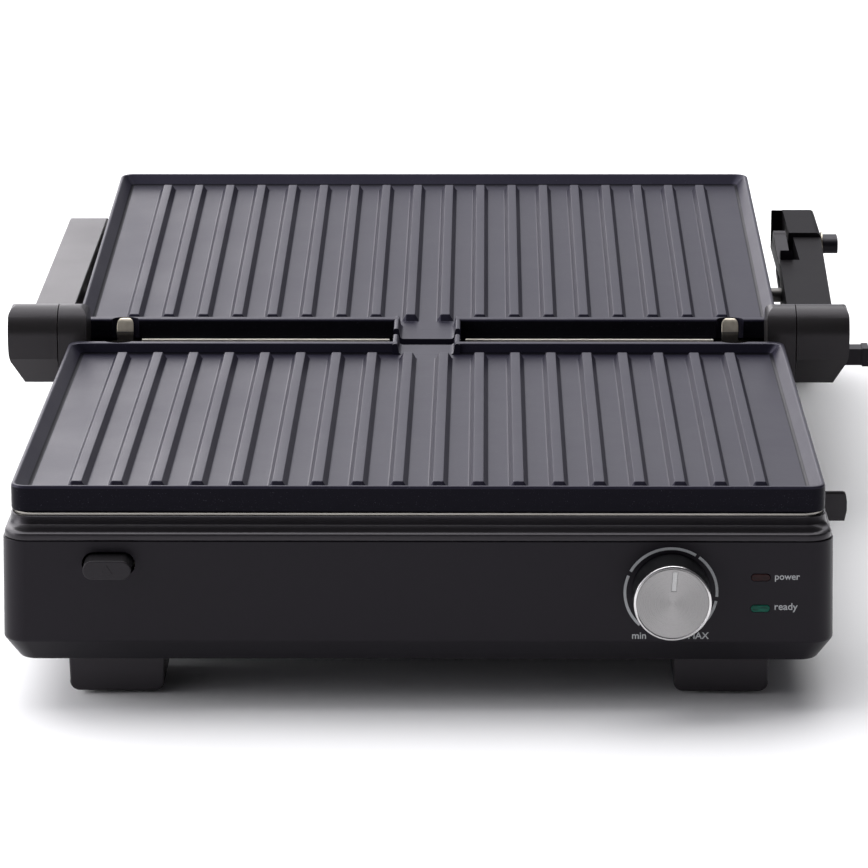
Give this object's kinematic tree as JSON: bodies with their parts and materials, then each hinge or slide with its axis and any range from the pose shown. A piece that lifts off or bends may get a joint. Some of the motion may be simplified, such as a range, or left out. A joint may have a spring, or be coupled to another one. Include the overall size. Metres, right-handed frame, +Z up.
{
  "type": "panini press",
  "caption": "Contact grill lying open flat: ribbed non-stick plates in a black base and lid, side hinge hubs, handle arms, front knob and release button.",
  "frame": {"origin": "point on the table directly under the middle of the lid's hinge axis", "axes": "+X to the user's right along the hinge axis, +Y away from the user towards the opened lid, +Z up from the table"},
  "size_m": [0.3626, 0.5431, 0.0883],
  "materials": {
    "black_plastic": "moulded satin",
    "hub_plastic": "fine spark texture",
    "grip_plastic": "satin",
    "non_stick_coating": "satin non-stick coating",
    "stainless_steel": "brushed",
    "bright_steel": "plated",
    "screw_steel": "dark zinc",
    "heater_sheath": "oxidised steel",
    "knob_aluminium": "spun",
    "rubber": "matte",
    "thermostat_ceramic": "plain",
    "board_laminate": "solder mask",
    "red_lens": "clear moulded",
    "green_lens": "clear moulded",
    "tray_plastic": "satin"
  },
  "bodies": {
    "base": {"base_shell": "black_plastic", "base_cover": "black_plastic", "front_feet": "black_plastic", "rear_foot_bar": "black_plastic", "foot_pads": "rubber", "base_screws": "screw_steel", "lower_steel_tray": "stainless_steel", "lower_heating_element": "heater_sheath", "lower_plate_clips": "stainless_steel", "lower_button_spring": "bright_steel", "thermostat": "thermostat_ceramic", "indicator_board": "board_laminate", "power_lamp_window": "red_lens", "ready_lamp_window": "green_lens", "terminal_block": "thermostat_ceramic", "cord_gland": "rubber", "hinge_bracket_left": "hub_plastic", "hinge_bracket_right": "hub_plastic", "hinge_pin_left": "bright_steel", "hinge_pin_right": "bright_steel", "latch_catch": "black_plastic"},
    "lower_plate": {"lower_grill_plate": "non_stick_coating"},
    "lower_button": {"lower_release_button": "black_plastic", "lower_plate_latch": "bright_steel"},
    "knob": {"control_knob": "knob_aluminium", "knob_shaft": "bright_steel"},
    "tray": {"drip_tray": "tray_plastic"},
    "handle": {"handle_arm_left": "hub_plastic", "handle_arm_right": "hub_plastic", "hub_cover_left": "hub_plastic", "hub_cover_right": "hub_plastic", "handle_bar": "black_plastic", "handle_grip": "grip_plastic", "handle_end_caps": "black_plastic", "handle_pads": "rubber", "arm_screws": "screw_steel"},
    "release_tab": {"hinge_release_tab": "black_plastic"},
    "latch": {"latch_lever": "black_plastic", "latch_washer": "bright_steel"},
    "lid": {"lid_shell": "black_plastic", "lid_bezel": "black_plastic", "lid_pivot_pin_left": "bright_steel", "lid_pivot_pin_right": "bright_steel", "lid_screws": "screw_steel", "upper_steel_tray": "stainless_steel", "upper_heating_element": "heater_sheath", "upper_plate_clips": "stainless_steel", "upper_button_spring": "bright_steel"},
    "upper_plate": {"upper_grill_plate": "non_stick_coating"},
    "upper_button": {"upper_release_button": "black_plastic", "upper_plate_latch": "bright_steel"}
  },
  "joints": [
    {"name": "lid_hinge", "type": "hinge", "parent": "base", "child": "handle", "pos_m": [0, 0, 0.077], "axis": [1, 0, 0], "range_deg": [0, 175]},
    {"name": "lid_tilt", "type": "hinge", "parent": "handle", "child": "lid", "pos_m": [0, 0.112, 0.064], "axis": [-1, 0, 0], "range_deg": [-4, 0]},
    {"name": "lower_plate_lift", "type": "slide", "parent": "base", "child": "lower_plate", "axis": [0, -0.0349, -0.9994], "range_m": [-0.04, 0]},
    {"name": "upper_plate_lift", "type": "slide", "parent": "lid", "child": "upper_plate", "axis": [0, 0.0471, -0.9989], "range_m": [-0.04, 0]},
    {"name": "lower_button_press", "type": "slide", "parent": "base", "child": "lower_button", "axis": [0, 1, 0], "range_m": [0, 0.003], "stiffness_N_per_m": 400, "springref_m": -0.002, "deforming": ["lower_button_spring"]},
    {"name": "upper_button_press", "type": "slide", "parent": "lid", "child": "upper_button", "axis": [0, -0.9989, -0.0471], "range_m": [0, 0.003], "stiffness_N_per_m": 400, "springref_m": -0.002, "deforming": ["upper_button_spring"]},
    {"name": "temperature_knob", "type": "hinge", "parent": "base", "child": "knob", "pos_m": [0.0925, -0.259, 0.0474], "axis": [0, -1, 0], "range_deg": [-140, 140]},
    {"name": "drip_tray_slide", "type": "slide", "parent": "base", "child": "tray", "axis": [1, 0, 0], "range_m": [0, 0.12]},
    {"name": "hinge_release_pull", "type": "slide", "parent": "handle", "child": "release_tab", "axis": [1, 0, 0], "range_m": [0, 0.005], "stiffness_N_per_m": 300, "springref_m": -0.003},
    {"name": "latch_turn", "type": "hinge", "parent": "handle", "child": "latch", "pos_m": [0.177, 0.1845, 0.07], "axis": [-1, 0, 0], "range_deg": [0, 85]}
  ]
}
